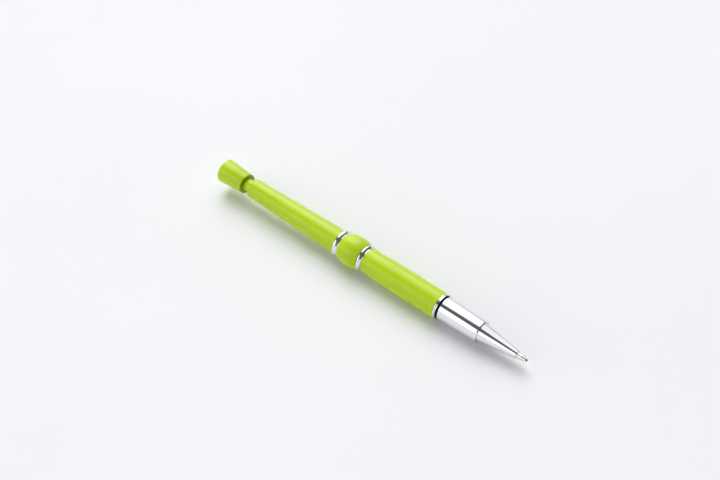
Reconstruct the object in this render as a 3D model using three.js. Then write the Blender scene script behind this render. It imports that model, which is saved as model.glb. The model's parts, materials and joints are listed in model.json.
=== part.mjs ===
// Fixed-tip gel pen with a flared knob, a beaded waist and a screw-off chrome section.
// Millimetres. The pen lies along X with its writing tip towards +X, and +Z is up.
// Every position is counted forwards from the front face of the tip ring.
import * as THREE from "three";

// ---- Clearances -------------------------------------------------------------------------
const SEAT_GAP = 0.05; // between two faces that meet end to end
const PRESS_GAP = 0.1; // on the radius, round a pressed or bonded piece
const THREAD_GAP = 0.15; // on the radius, round a screwed piece
const SLIDE_GAP = 0.25; // on the radius, round the refill
const TIP_GAP = 0.12; // on the radius, between the refill's tip and the nozzle
const BALL_GAP = 0.04; // between the writing ball and its socket

// ---- Refill -----------------------------------------------------------------------------
const REFILL_LENGTH = 110.5;
const REFILL_RADIUS = 3.0;
const REFILL_WALL = 0.55;
const REFILL_PLUG_LENGTH = 4.5;
const REFILL_PLUG_FLANGE = 1.2;
const REFILL_PLUG_NUB_RADIUS = 1.5;
const REFILL_PLUG_NUB_LENGTH = 1.6;
const VENT_RADIUS = 0.5;
const INK_LENGTH = 58;
const FOLLOWER_LENGTH = 6;
const HOLDER_SPIGOT_LENGTH = 7;
const HOLDER_FLANGE = 1.6;
const HOLDER_SHOULDER_RADIUS = 2.2;
const TIP_RADIUS = 1.175;
const TIP_TANG_RADIUS = 0.95;
const TIP_TANG_LENGTH = 5;
const TIP_METAL_LENGTH = 10.5;
const TIP_CONE_LENGTH = 2.05;
const TIP_LIP = 0.12;
const INK_CHANNEL_RADIUS = 0.5;
const FEED_RADIUS = 0.2;
const FEED_LENGTH = 0.8;
const BALL_RADIUS = 0.5;

// ---- Spring and its seat ----------------------------------------------------------------
const SPRING_LENGTH = 12;
const SPRING_COIL_RADIUS = 2.3;
const SPRING_WIRE_RADIUS = 0.2;
const SPRING_TURNS = 7;
const SPRING_DEAD_TURNS = 1.25;
const SPRING_DEAD_PITCH = 0.44; // rise of a closed turn, a little more than the wire
const SEAT_LENGTH = 5;
const SEAT_POCKET_DEPTH = 1.4;
const SEAT_POCKET_GAP = 0.3;
const STEM_ROOM = 9.9; // free bore between the stem and the spring seat

// ---- Barrel, waist and rings ------------------------------------------------------------
const BARREL_WALL = 0.7;
const UPPER_REAR_RADIUS = 4.15;
const UPPER_BOW = 0.75; // below 1 the upper barrel fills out faster behind than in front
const UPPER_EDGE_RADIUS = 0.6;
const LOWER_LENGTH = 36.95;
const LOWER_REAR_WALL = 0.69;
const LOWER_SWELL_WALL = 1.11;
const LOWER_FRONT_WALL = 1.02;
const LOWER_SWELL_AT = 0.42; // share of the lower barrel's length where it is widest
const COUPLING_WALL = 0.55;
const BUSH_WALL = 0.45;
const BUSH_LENGTH = 8;
const REAR_RING_WIDTH = 2.6;
const FRONT_RING_WIDTH = 1.95;
const RING_PROUD = 0.9; // of the ring's bead, above the barrel beside it
const RING_GROOVE_WIDTH = 0.15; // behind the bead
const RING_GROOVE_DEPTH = 0.1; // below the surface of the barrel
const RING_BEAD_END = 30; // angle above the axis, in degrees, where the bead turns into a slope
const RING_SLOPE_WIDTH = 0.4;
const RING_LAND_WIDTH = 0.2;
const RING_LAND_PROUD = 0.1;
const BULB_LENGTH = 10.3;
const BULB_END_WALL = 1.77;
const BULB_WALL = 2.75;
const BULB_FLAT = 1.2; // straight band round the bulb's widest place, which the pen lies on
const TIP_RING_WIDTH = 1.2;
const TIP_RING_PROUD = 0.18;
const TIP_RING_BEAD = 0.7; // width of its half-round rear part
const TIP_RING_BAND = 0.38; // width of the low band ahead of the bead
const TIP_RING_STEP = 0.1; // from the top of the bead down to the band
const TIP_RING_EDGE = 0.1;
const TIP_RING_RECESS = 0.35; // depth of the recess in its front face that holds the o-ring
const TIP_RING_CLEAR = 0.1; // on the radius, from the section out to the flat that a stand meets

// ---- Neck and knob ----------------------------------------------------------------------
const NECK_LENGTH = 3.4;
const NECK_SHOULDER = 0.5; // step from the neck out to the stem's spigot
const STEM_SPIGOT_LENGTH = 8;
const STEM_LIP = 0.8; // rolled-in end of the upper barrel that holds the stem's shoulder
const STUD_RADIUS = 2.0;
const STUD_LENGTH = 5.4;
const KNOB_LENGTH = 12.75;
const KNOB_REAR_RADIUS = 5.4;
const KNOB_FRONT_RADIUS = 4.38;
const KNOB_EDGE_RADIUS = 0.6;
const KNOB_BORE_SPARE = 0.8;
const COLLAR_THICKNESS = 0.4;
const COLLAR_CHAMFER = 0.15;

// ---- Section and nose -------------------------------------------------------------------
const O_RING_WIDTH = 1.15;
const O_RING_HEIGHT = 1.0;
const SECTION_LENGTH = 17.9;
const SECTION_TAIL_LENGTH = 6.6;
const SECTION_TAIL_WALL = 0.55;
const SECTION_REAR_WALL = 1.9;
const SECTION_FRONT_WALL = 1.45;
const SECTION_CHAMFER = 0.3;
const NOSE_LENGTH = 16.2;
const NOSE_SPIGOT_WALL = 0.7;
const NOSE_SPIGOT_LENGTH = 6.8;
const NOSE_SEAT_DEPTH = 1.9; // the refill's seat, behind the section's mouth
const NOZZLE_WALL = 0.45;
const NOZZLE_LAND = 2.5;
const TIP_EXPOSED = 4.4;

// ---- Facets -----------------------------------------------------------------------------
const CASE_FACETS = 24;
const CORE_FACETS = 16;
const BALL_FACETS = 12;
const WIRE_SIDES = 6;
const STEPS_PER_TURN = 12;
const ROUND_STEPS = 4;
const UPPER_STEPS = 8;
const UPPER_BORE_STEPS = 5;
const LOWER_STEPS = 10;
const BULB_STEPS = 5; // from its flat to each end
const KNURL_DEPTH = 0.06;

// ---- Radii that follow from the refill outwards -----------------------------------------
const coreBore = REFILL_RADIUS + SLIDE_GAP;
const couplingRadius = coreBore + COUPLING_WALL;
const threadBore = couplingRadius + THREAD_GAP;
const bushRadius = threadBore + BUSH_WALL;
const barrelBore = bushRadius + PRESS_GAP;
const upperFrontRadius = barrelBore + BARREL_WALL;
const upperRearBore = UPPER_REAR_RADIUS - BARREL_WALL;
const lowerRearRadius = barrelBore + LOWER_REAR_WALL;
const lowerFrontRadius = barrelBore + LOWER_FRONT_WALL;
const tipRingRadius = lowerFrontRadius + TIP_RING_PROUD;
const bulbEndRadius = threadBore + BULB_END_WALL;
const bulbRadius = threadBore + BULB_WALL;
const tailRadius = coreBore + SECTION_TAIL_WALL;
const tailBore = tailRadius + THREAD_GAP;
const sectionBushRadius = tailBore + BUSH_WALL;
const sectionRearRadius = coreBore + SECTION_REAR_WALL;
const sectionFrontRadius = coreBore + SECTION_FRONT_WALL;
const noseRadius = coreBore + NOSE_SPIGOT_WALL;
const noseSocket = noseRadius + PRESS_GAP;
const nozzleBore = TIP_RADIUS + TIP_GAP;
const nozzleRadius = nozzleBore + NOZZLE_WALL;
const refillBore = REFILL_RADIUS - REFILL_WALL;
const refillCore = refillBore - PRESS_GAP;
const studBore = STUD_RADIUS + THREAD_GAP;
const stemSpigotRadius = upperRearBore - PRESS_GAP;
const neckRadius = stemSpigotRadius - NECK_SHOULDER;
const stemLipBore = neckRadius + PRESS_GAP;

// ---- Positions along the pen, forwards of the tip ring's front face ---------------------
const tipRingFront = 0;
const tipRingRear = tipRingFront - TIP_RING_WIDTH;
const lowerFront = tipRingRear - SEAT_GAP;
const lowerRear = lowerFront - LOWER_LENGTH;
const frontRingFront = lowerRear - SEAT_GAP;
const frontRingRear = frontRingFront - FRONT_RING_WIDTH;
const bulbFront = frontRingRear - SEAT_GAP;
const bulbRear = bulbFront - BULB_LENGTH;
const bulbMiddle = (bulbRear + bulbFront) / 2;
const rearRingFront = bulbRear - SEAT_GAP;
const rearRingRear = rearRingFront - REAR_RING_WIDTH;
const upperFront = rearRingRear - SEAT_GAP;

const oRingRear = tipRingFront - TIP_RING_RECESS + SEAT_GAP;
const oRingFront = oRingRear + O_RING_WIDTH;
const sectionRear = oRingFront + SEAT_GAP;
const sectionFront = sectionRear + SECTION_LENGTH;
const nozzleFront = sectionFront + NOSE_LENGTH;
const tipPoint = nozzleFront + TIP_EXPOSED;
const noseSeat = sectionFront - NOSE_SEAT_DEPTH;
const noseSpigotRear = sectionFront - NOSE_SPIGOT_LENGTH;

const refillShoulder = noseSeat - SEAT_GAP;
const refillTubeFront = refillShoulder - HOLDER_FLANGE - SEAT_GAP;
const refillRear = tipPoint - REFILL_LENGTH;
const refillTubeRear = refillRear + REFILL_PLUG_NUB_LENGTH + REFILL_PLUG_FLANGE + SEAT_GAP;
const ballCentre = tipPoint - BALL_RADIUS;
const tipLipFront = ballCentre + TIP_LIP;
const tipMetalRear = tipPoint - TIP_METAL_LENGTH;
const holderFront = tipMetalRear - SEAT_GAP;

const springFront = refillRear + REFILL_PLUG_NUB_LENGTH - SEAT_GAP;
const springRear = springFront - SPRING_LENGTH;
const springPocket = springRear - SEAT_GAP;
const seatFront = springPocket + SEAT_POCKET_DEPTH;
const seatRear = seatFront - SEAT_LENGTH;
const stemFront = seatRear - STEM_ROOM;
const stemShoulder = stemFront - STEM_SPIGOT_LENGTH;
const upperRear = stemShoulder - SEAT_GAP - STEM_LIP;
const neckRear = upperRear - NECK_LENGTH;
const collarFront = neckRear - SEAT_GAP;
const collarRear = collarFront - COLLAR_THICKNESS;
const knobFront = collarRear - SEAT_GAP;
const knobRear = knobFront - KNOB_LENGTH;
const studRear = knobFront - STUD_LENGTH;

// ---- Finishes ---------------------------------------------------------------------------
const LIME = { color: 0xb0d805, roughness: 0.3, metalness: 0.1 };
const CHROME = { color: 0xd8d9dc, roughness: 0.08, metalness: 1 };
const BRASS = { color: 0x9a8a3c, roughness: 0.35, metalness: 1 };
const STEEL = { color: 0xb9b6b0, roughness: 0.25, metalness: 1 };
const NICKEL_SILVER = { color: 0xcdb9a6, roughness: 0.22, metalness: 1 };
const CARBIDE = { color: 0x2b2a2c, roughness: 0.15, metalness: 0.8 };
const RUBBER = { color: 0x141416, roughness: 0.7, metalness: 0 };
const WHITE_PLASTIC = { color: 0xe6e6e2, roughness: 0.4, metalness: 0 };
const CLEAR_PLASTIC = { color: 0xdfe6e6, roughness: 0.15, metalness: 0 };
const INK = { color: 0x101018, roughness: 0.2, metalness: 0 };
const LACQUERED_BRASS = { color: 0x96a016, roughness: 0.3, metalness: 0.8 };
const GREASE = { color: 0xd9d2a8, roughness: 0.3, metalness: 0 };

// ---- Outline helpers: points are [position along the pen, radius] -----------------------

/** Points of a round edge in an outline, from one angle to another, in degrees. */
function arc(x, r, radius, fromDeg, toDeg, steps = ROUND_STEPS) {
  const points = [];
  for (let i = 0; i <= steps; i += 1) {
    const angle = THREE.MathUtils.degToRad(fromDeg + ((toDeg - fromDeg) * i) / steps);
    points.push([x + radius * Math.cos(angle), r + radius * Math.sin(angle)]);
  }
  return points;
}

/** Points between two places, with the radius given by a formula of the place. */
function sweep(fromX, toX, radiusAt, steps) {
  const points = [];
  for (let i = 0; i <= steps; i += 1) {
    const x = fromX + ((toX - fromX) * i) / steps;
    points.push([x, radiusAt(x)]);
  }
  return points;
}

/** A straight stretch of an outline. */
function straight(rear, front, radius) {
  return [[rear, radius], [front, radius]];
}

/** A named mesh with a material of its own. */
function piece(name, geometry, finish) {
  const mesh = new THREE.Mesh(geometry, new THREE.MeshStandardMaterial({ name, ...finish }));
  mesh.name = name;
  return mesh;
}

/**
 * A turned piece. Both outlines run from the rear to the front. Flats lie at the stated
 * radius, with one facing straight down. Without an inner outline the piece is solid.
 */
function turned(name, finish, outer, inner = null, facets = CASE_FACETS) {
  const outline = inner
    ? [...outer, ...[...inner].reverse(), outer[0]]
    : [[outer[0][0], 0], ...outer, [outer.at(-1)[0], 0]];
  const corner = 1 / Math.cos(Math.PI / facets);
  const points = outline.map(([x, r]) => new THREE.Vector2(r * corner, x));
  return piece(name, new THREE.LatheGeometry(points, facets, Math.PI / facets), finish);
}

/** A press-in bush with a straight knurl outside and a plain bore for the thread. */
function knurledBush(name, rear, length, boreRadius, radius) {
  const corner = 1 / Math.cos(Math.PI / CASE_FACETS);
  const shape = new THREE.Shape();
  const hole = new THREE.Path();
  for (let i = 0; i < 2 * CASE_FACETS; i += 1) {
    const angle = (i * Math.PI) / CASE_FACETS;
    const r = i % 2 ? radius - KNURL_DEPTH : radius;
    shape[i ? "lineTo" : "moveTo"](r * Math.cos(angle), r * Math.sin(angle));
  }
  for (let i = 0; i < CASE_FACETS; i += 1) {
    const angle = (-2 * i * Math.PI) / CASE_FACETS;
    const r = boreRadius * corner;
    hole[i ? "lineTo" : "moveTo"](r * Math.cos(angle), r * Math.sin(angle));
  }
  shape.closePath();
  hole.closePath();
  shape.holes.push(hole);
  const geometry = new THREE.ExtrudeGeometry(shape, { depth: length, bevelEnabled: false });
  geometry.rotateX(-Math.PI / 2);
  geometry.translate(0, rear, 0);
  return piece(name, geometry, BRASS);
}

// ---- Shapes that more than one piece follows --------------------------------------------

/** Outer radius of the upper barrel at a place along the pen. */
function upperRadiusAt(x) {
  const t = (x - upperRear) / (upperFront - upperRear);
  return UPPER_REAR_RADIUS + (upperFrontRadius - UPPER_REAR_RADIUS) * t ** UPPER_BOW;
}

/** Bore of the upper barrel, which keeps the wall even. */
function upperBoreAt(x) {
  return upperRadiusAt(x) - BARREL_WALL;
}

/** Outer radius of the lower barrel: a low swell between its two ends. */
function lowerRadiusAt(x) {
  const swell = barrelBore + LOWER_SWELL_WALL;
  const swellX = lowerRear + LOWER_LENGTH * LOWER_SWELL_AT;
  const [endX, endRadius] = x < swellX ? [lowerRear, lowerRearRadius] : [lowerFront, lowerFrontRadius];
  return swell - (swell - endRadius) * ((x - swellX) / (endX - swellX)) ** 2;
}

/** Outer radius of the bulb, which falls away from the flat band on both sides. */
function bulbRadiusAt(x) {
  const fromMiddle = Math.abs(x - bulbMiddle) - BULB_FLAT / 2;
  const away = Math.max(0, fromMiddle) / ((BULB_LENGTH - BULB_FLAT) / 2);
  return bulbRadius - (bulbRadius - bulbEndRadius) * away ** 2;
}

/** Bore of the nose in front of the refill's seat, tapering to the nozzle. */
function noseBoreAt(x) {
  const wide = HOLDER_SHOULDER_RADIUS + SLIDE_GAP;
  const share = (x - noseSeat) / (nozzleFront - NOZZLE_LAND - noseSeat);
  return wide + (nozzleBore - wide) * share;
}

/** A chrome ring: a half-round bead that runs down a slope ahead of it to a narrow land. */
function waistRing(name, rear, width, barrelRadius) {
  const front = rear + width;
  const groove = barrelRadius - RING_GROOVE_DEPTH;
  const land = barrelRadius + RING_LAND_PROUD;
  const half = (width - RING_GROOVE_WIDTH - RING_SLOPE_WIDTH - RING_LAND_WIDTH) / 2;
  const beadRear = rear + RING_GROOVE_WIDTH;
  const beadAxis = barrelRadius + RING_PROUD - half;
  const outer = [
    ...straight(rear, beadRear, groove),
    ...arc(beadRear + half, beadAxis, half, 180, RING_BEAD_END, 2 * ROUND_STEPS),
    ...straight(front - RING_LAND_WIDTH, front, land),
  ];
  return turned(name, CHROME, outer, straight(rear, front, threadBore));
}

// ---- Knob and neck ----------------------------------------------------------------------

function knobCap() {
  const edge = KNOB_EDGE_RADIUS;
  const outer = [
    ...arc(knobRear + edge, KNOB_REAR_RADIUS - edge, edge, 180, 90),
    [knobFront, KNOB_FRONT_RADIUS],
    [knobFront, studBore],
    [studRear - KNOB_BORE_SPARE, studBore],
  ];
  return turned("knob_cap", LIME, outer);
}

function knobCollar() {
  const outer = [
    [collarRear, KNOB_FRONT_RADIUS],
    [collarFront - COLLAR_CHAMFER, KNOB_FRONT_RADIUS],
    [collarFront, KNOB_FRONT_RADIUS - COLLAR_CHAMFER],
  ];
  return turned("knob_collar", LACQUERED_BRASS, outer, straight(collarRear, collarFront, studBore));
}

function neckStem() {
  const outer = [
    ...straight(studRear, neckRear, STUD_RADIUS),
    ...straight(neckRear, stemShoulder, neckRadius),
    ...straight(stemShoulder, stemFront, stemSpigotRadius),
  ];
  return turned("neck_stem", LIME, outer);
}

// ---- Upper barrel and the spring --------------------------------------------------------

function upperBarrel() {
  const edge = UPPER_EDGE_RADIUS;
  const body = sweep(upperRear + edge, upperFront, upperRadiusAt, UPPER_STEPS);
  const rim = arc(upperRear + edge, body[0][1] - edge, edge, 180, 90);
  const bushRear = upperFront - BUSH_LENGTH - SEAT_GAP;
  const lipFront = upperRear + STEM_LIP;
  const socketFront = stemFront + SEAT_GAP;
  const inner = [
    ...straight(upperRear, lipFront, stemLipBore),
    ...straight(lipFront, socketFront, upperRearBore),
    ...sweep(socketFront, bushRear, upperBoreAt, UPPER_BORE_STEPS),
    ...straight(bushRear, upperFront, barrelBore),
  ];
  return turned("upper_barrel", LIME, [...rim, ...body.slice(1)], inner);
}

function springSeat() {
  const pocket = SPRING_COIL_RADIUS + SPRING_WIRE_RADIUS + SEAT_POCKET_GAP;
  const outer = [
    [seatRear, upperBoreAt(seatRear) - PRESS_GAP],
    [seatFront, upperBoreAt(seatFront) - PRESS_GAP],
  ];
  const inner = [
    ...straight(seatRear, springPocket, VENT_RADIUS),
    ...straight(springPocket, seatFront, pocket),
  ];
  return turned("spring_seat", WHITE_PLASTIC, outer, inner, CORE_FACETS);
}

/** A compression spring's centre line, with closed turns at both ends. */
class SpringLine extends THREE.Curve {
  getPoint(t, target = new THREE.Vector3()) {
    const low = springRear + SPRING_WIRE_RADIUS;
    const high = springFront - SPRING_WIRE_RADIUS;
    const dead = SPRING_DEAD_TURNS / SPRING_TURNS;
    const deadRise = SPRING_DEAD_TURNS * SPRING_DEAD_PITCH;
    let rise = 0;
    if (t < dead) {
      rise = (deadRise * t) / dead;
    } else if (t > 1 - dead) {
      rise = high - low - (deadRise * (1 - t)) / dead;
    } else {
      rise = deadRise + ((high - low - 2 * deadRise) * (t - dead)) / (1 - 2 * dead);
    }
    const angle = 2 * Math.PI * SPRING_TURNS * t;
    const side = SPRING_COIL_RADIUS * Math.cos(angle);
    const up = SPRING_COIL_RADIUS * Math.sin(angle);
    return target.set(side, low + rise, up);
  }
}

function refillSpring() {
  const section = new THREE.Shape();
  for (let i = 0; i < WIRE_SIDES; i += 1) {
    const angle = (2 * Math.PI * i) / WIRE_SIDES;
    const place = [SPRING_WIRE_RADIUS * Math.cos(angle), SPRING_WIRE_RADIUS * Math.sin(angle)];
    section[i ? "lineTo" : "moveTo"](...place);
  }
  section.closePath();
  const geometry = new THREE.ExtrudeGeometry(section, {
    steps: SPRING_TURNS * STEPS_PER_TURN,
    bevelEnabled: false,
    extrudePath: new SpringLine(),
  });
  return piece("refill_spring", geometry, STEEL);
}

// ---- Waist ------------------------------------------------------------------------------

function bulb() {
  const outer = [
    ...sweep(bulbRear, bulbMiddle - BULB_FLAT / 2, bulbRadiusAt, BULB_STEPS),
    ...sweep(bulbMiddle + BULB_FLAT / 2, bulbFront, bulbRadiusAt, BULB_STEPS),
  ];
  return turned("bulb", LIME, outer, straight(bulbRear, bulbFront, threadBore));
}

function coupling() {
  const rear = upperFront - BUSH_LENGTH;
  const front = lowerRear + BUSH_LENGTH;
  return turned("coupling", BRASS, straight(rear, front, couplingRadius), straight(rear, front, coreBore));
}

// ---- Lower barrel and tip ring ----------------------------------------------------------

function lowerBarrel() {
  const outer = sweep(lowerRear, lowerFront, lowerRadiusAt, LOWER_STEPS);
  return turned("lower_barrel", LIME, outer, straight(lowerRear, lowerFront, barrelBore));
}

function tipRing() {
  const half = TIP_RING_BEAD / 2;
  const groove = tipRingRadius - half;
  const band = tipRingRadius - TIP_RING_STEP;
  const edge = TIP_RING_EDGE;
  const outer = [
    ...arc(tipRingRear + half, groove, half, 180, 0, 2 * ROUND_STEPS),
    [tipRingFront - TIP_RING_BAND, groove],
    [tipRingFront - TIP_RING_BAND, band],
    ...arc(tipRingFront - edge, band - edge, edge, 90, 0),
  ];
  const recessRear = tipRingFront - TIP_RING_RECESS;
  const recessRadius = sectionRearRadius + TIP_RING_CLEAR;
  const inner = [
    ...straight(tipRingRear, recessRear, tailBore),
    ...straight(recessRear, tipRingFront, recessRadius),
  ];
  return turned("tip_ring", CHROME, outer, inner);
}

// ---- Section and nose -------------------------------------------------------------------

function oRing() {
  const outer = straight(oRingRear, oRingFront, tailBore + O_RING_HEIGHT);
  return turned("o_ring", RUBBER, outer, straight(oRingRear, oRingFront, tailBore));
}

function gripSection() {
  const tailRear = sectionRear - SECTION_TAIL_LENGTH;
  const socketRear = noseSpigotRear - SEAT_GAP;
  const outer = [
    ...straight(tailRear, sectionRear, tailRadius),
    [sectionRear, sectionRearRadius],
    [sectionFront - SECTION_CHAMFER, sectionFrontRadius],
    [sectionFront, sectionFrontRadius - SECTION_CHAMFER],
  ];
  const inner = [
    ...straight(tailRear, socketRear, coreBore),
    ...straight(socketRear, sectionFront, noseSocket),
  ];
  return turned("grip_section", CHROME, outer, inner);
}

function noseCone() {
  const outer = [
    ...straight(noseSpigotRear, sectionFront, noseRadius),
    [nozzleFront, nozzleRadius],
  ];
  const inner = [
    ...straight(noseSpigotRear, noseSeat, coreBore),
    [noseSeat, noseBoreAt(noseSeat)],
    ...straight(nozzleFront - NOZZLE_LAND, nozzleFront, nozzleBore),
  ];
  return turned("nose_cone", CHROME, outer, inner);
}

// ---- Refill -----------------------------------------------------------------------------

function refillPlug() {
  const flangeRear = refillRear + REFILL_PLUG_NUB_LENGTH;
  const flangeFront = flangeRear + REFILL_PLUG_FLANGE;
  const front = flangeFront + REFILL_PLUG_LENGTH;
  const outer = [
    ...straight(refillRear, flangeRear, REFILL_PLUG_NUB_RADIUS),
    ...straight(flangeRear, flangeFront, REFILL_RADIUS),
    ...straight(flangeFront, front, refillCore),
  ];
  const vent = straight(refillRear, front, VENT_RADIUS);
  return turned("refill_plug", WHITE_PLASTIC, outer, vent, CORE_FACETS);
}

function refillTube() {
  const outer = straight(refillTubeRear, refillTubeFront, REFILL_RADIUS);
  const inner = straight(refillTubeRear, refillTubeFront, refillBore);
  return turned("refill_tube", CLEAR_PLASTIC, outer, inner, CORE_FACETS);
}

function tipHolder() {
  const rear = refillTubeFront - HOLDER_SPIGOT_LENGTH;
  const flangeRear = refillShoulder - HOLDER_FLANGE;
  const tangSeat = tipMetalRear - TIP_TANG_LENGTH - SEAT_GAP;
  const outer = [
    ...straight(rear, flangeRear, refillCore),
    ...straight(flangeRear, refillShoulder, REFILL_RADIUS),
    [refillShoulder, HOLDER_SHOULDER_RADIUS],
    [holderFront, noseBoreAt(holderFront) - SLIDE_GAP],
  ];
  const inner = [
    ...straight(rear, tangSeat, INK_CHANNEL_RADIUS),
    ...straight(tangSeat, holderFront, TIP_TANG_RADIUS + PRESS_GAP),
  ];
  return turned("tip_holder", WHITE_PLASTIC, outer, inner, CORE_FACETS);
}

function refillTip() {
  const socket = BALL_RADIUS + BALL_GAP;
  const lipRadius = Math.sqrt(socket ** 2 - TIP_LIP ** 2);
  const feedFront = ballCentre - Math.sqrt(socket ** 2 - FEED_RADIUS ** 2);
  const rear = tipMetalRear - TIP_TANG_LENGTH;
  const outer = [
    ...straight(rear, tipMetalRear, TIP_TANG_RADIUS),
    ...straight(tipMetalRear, tipLipFront - TIP_CONE_LENGTH, TIP_RADIUS),
    [tipLipFront, lipRadius + TIP_LIP],
  ];
  const lipAngle = THREE.MathUtils.radToDeg(Math.asin(lipRadius / socket));
  const feedAngle = 180 - THREE.MathUtils.radToDeg(Math.asin(FEED_RADIUS / socket));
  const inner = [
    ...straight(rear, feedFront - FEED_LENGTH, INK_CHANNEL_RADIUS),
    [feedFront - FEED_LENGTH, FEED_RADIUS],
    ...arc(ballCentre, 0, socket, feedAngle, lipAngle),
  ];
  return turned("refill_tip", NICKEL_SILVER, outer, inner, CORE_FACETS);
}

function tipBall() {
  const geometry = new THREE.SphereGeometry(BALL_RADIUS, BALL_FACETS, BALL_FACETS - 2);
  const ball = piece("tip_ball", geometry, CARBIDE);
  ball.position.y = ballCentre;
  return ball;
}

function inkCharge() {
  const front = refillTubeFront - HOLDER_SPIGOT_LENGTH - SEAT_GAP;
  const rear = front - INK_LENGTH;
  const followerFront = rear - SEAT_GAP;
  const followerRear = followerFront - FOLLOWER_LENGTH;
  return [
    turned("ink", INK, straight(rear, front, refillCore), null, CORE_FACETS),
    turned("ink_follower", GREASE, straight(followerRear, followerFront, refillCore), null, CORE_FACETS),
  ];
}

// ---- The whole pen ----------------------------------------------------------------------
const turnedPieces = new THREE.Group();
turnedPieces.rotation.z = -Math.PI / 2; // lathe axis to the pen's axis
turnedPieces.add(
  knobCap(),
  knobCollar(),
  neckStem(),
  upperBarrel(),
  springSeat(),
  refillSpring(),
  knurledBush("upper_bush", upperFront - BUSH_LENGTH, BUSH_LENGTH, threadBore, bushRadius),
  waistRing("rear_ring", rearRingRear, REAR_RING_WIDTH, upperFrontRadius),
  bulb(),
  waistRing("front_ring", frontRingRear, FRONT_RING_WIDTH, lowerRearRadius),
  coupling(),
  knurledBush("middle_bush", lowerRear, BUSH_LENGTH, threadBore, bushRadius),
  lowerBarrel(),
  knurledBush("section_bush", lowerFront - BUSH_LENGTH, BUSH_LENGTH, tailBore, sectionBushRadius),
  tipRing(),
  oRing(),
  gripSection(),
  noseCone(),
  refillPlug(),
  refillTube(),
  tipHolder(),
  refillTip(),
  tipBall(),
  ...inkCharge(),
);

const pen = new THREE.Group();
pen.name = "gel_pen";
pen.position.set(-(knobRear + tipPoint) / 2, 0, bulbRadius);
pen.add(turnedPieces);

export default pen;
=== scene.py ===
"""Looks for a lime-green gel pen that lies on a pale table.

Metres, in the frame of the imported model: +X along the pen to its tip, +Z up.
Every turned piece is an outline of (position along X, radius), swept round the pen's axis.
"""

import json
import math

import bmesh
import bpy
from mathutils import Matrix, Vector


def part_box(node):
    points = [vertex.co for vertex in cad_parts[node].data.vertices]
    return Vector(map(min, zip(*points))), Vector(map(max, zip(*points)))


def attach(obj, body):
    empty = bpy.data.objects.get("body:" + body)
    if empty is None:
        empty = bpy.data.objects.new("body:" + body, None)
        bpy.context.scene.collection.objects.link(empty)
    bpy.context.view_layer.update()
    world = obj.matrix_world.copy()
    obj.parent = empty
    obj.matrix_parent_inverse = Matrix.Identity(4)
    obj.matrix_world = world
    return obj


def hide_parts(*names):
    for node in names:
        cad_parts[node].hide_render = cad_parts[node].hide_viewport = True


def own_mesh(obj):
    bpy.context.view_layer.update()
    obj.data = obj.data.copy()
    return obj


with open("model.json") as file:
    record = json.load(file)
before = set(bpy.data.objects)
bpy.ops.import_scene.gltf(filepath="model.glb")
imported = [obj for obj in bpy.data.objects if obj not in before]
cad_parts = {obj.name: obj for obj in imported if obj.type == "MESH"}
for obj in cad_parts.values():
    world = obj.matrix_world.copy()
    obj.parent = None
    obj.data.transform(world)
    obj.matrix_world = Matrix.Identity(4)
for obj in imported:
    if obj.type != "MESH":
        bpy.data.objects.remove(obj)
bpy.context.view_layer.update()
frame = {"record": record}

MM = 0.001
RECORD = frame["record"]
BODY_OF = {n: body for body, nodes in RECORD["behaviour"]["bodies"].items() for n in nodes}
SLOT_OF = {s["node"]: s["material_slot"] for s in RECORD["subparts"]}

# ---- Mesh quality -----------------------------------------------------------------------
SIDES = 128
SMALL_SIDES = 64
FILLET_STEPS = 6
BEAD_STEPS = 24
BARREL_STEPS = 40
BORE_STEPS = 12
BULB_STEPS = 36
DISH_STEPS = 8
CUP_STEPS = 8
WIRE_SIDES = 12
WIRE_STEPS_PER_TURN = 32
BALL_SUBDIVISIONS = 4
TABLE_SEGMENTS = 8
SHARP_DEG = 40
THREAD_RINGS_PER_PITCH = 8
ON_AXIS = 1e-7
SAME_RADIUS = 1e-6
BOX_MARGIN = 1e-9

# ---- Sizes that the boxes of the frame don't give ---------------------------------------
SEAT_GAP = 0.05 * MM
THREAD_GAP = 0.15 * MM
PRESS_GAP = 0.1 * MM
SLIDE_GAP = 0.25 * MM
KNOB_FRONT_RADIUS = 4.38 * MM
KNOB_EDGE = 0.3 * MM
COLLAR_EDGE = 0.14 * MM
NECK_SHOULDER = 0.5 * MM
STUD_RADIUS = 2.0 * MM
STUD_BORE = 2.15 * MM
STUD_BORE_SPARE = 0.8 * MM
STUD_BORE_LEAD = 0.4 * MM
STUD_PITCH = 0.7 * MM
STUD_LEAD = 0.15 * MM
STUD_RUNOUT = 0.2 * MM
STEM_EDGE = 0.4 * MM
STEM_LIP = 0.8 * MM
BARREL_WALL = 0.7 * MM
UPPER_REAR_RADIUS = 4.15 * MM
UPPER_BOW = 0.75
UPPER_EDGE = 0.75 * MM
UPPER_EDGE_WIDTH = 1.2 * MM
UPPER_EDGE_FALL = 0.05 * MM
EDGE = 0.1 * MM
FINE_EDGE = 0.05 * MM
PAINT_EDGE = 0.12 * MM
LOWER_REAR_RADIUS = 5.19 * MM
LOWER_FRONT_RADIUS = 5.52 * MM
LOWER_SWELL_AT = 0.42
BULB_END_RADIUS = 5.72 * MM
BULB_FLAT = 1.2 * MM
RING_GROOVE_WIDTH = 0.15 * MM
RING_GROOVE_DEPTH = 0.1 * MM
RING_BEAD_END = math.radians(30)
RING_SLOPE_WIDTH = 0.4 * MM
RING_LAND_WIDTH = 0.2 * MM
RING_LAND_PROUD = 0.1 * MM
TIP_RING_BEAD = 0.7 * MM
TIP_RING_BAND = 0.38 * MM
TIP_RING_STEP = 0.1 * MM
TIP_RING_EDGE = 0.1 * MM
TIP_RING_FILLET = 0.04 * MM
TIP_RING_RECESS = 0.35 * MM
TIP_RING_RECESS_RADIUS = 5.25 * MM
SECTION_PITCH = 0.75 * MM
SECTION_TAIL = 6.6 * MM
SECTION_RUNOUT = 0.8 * MM
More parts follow.
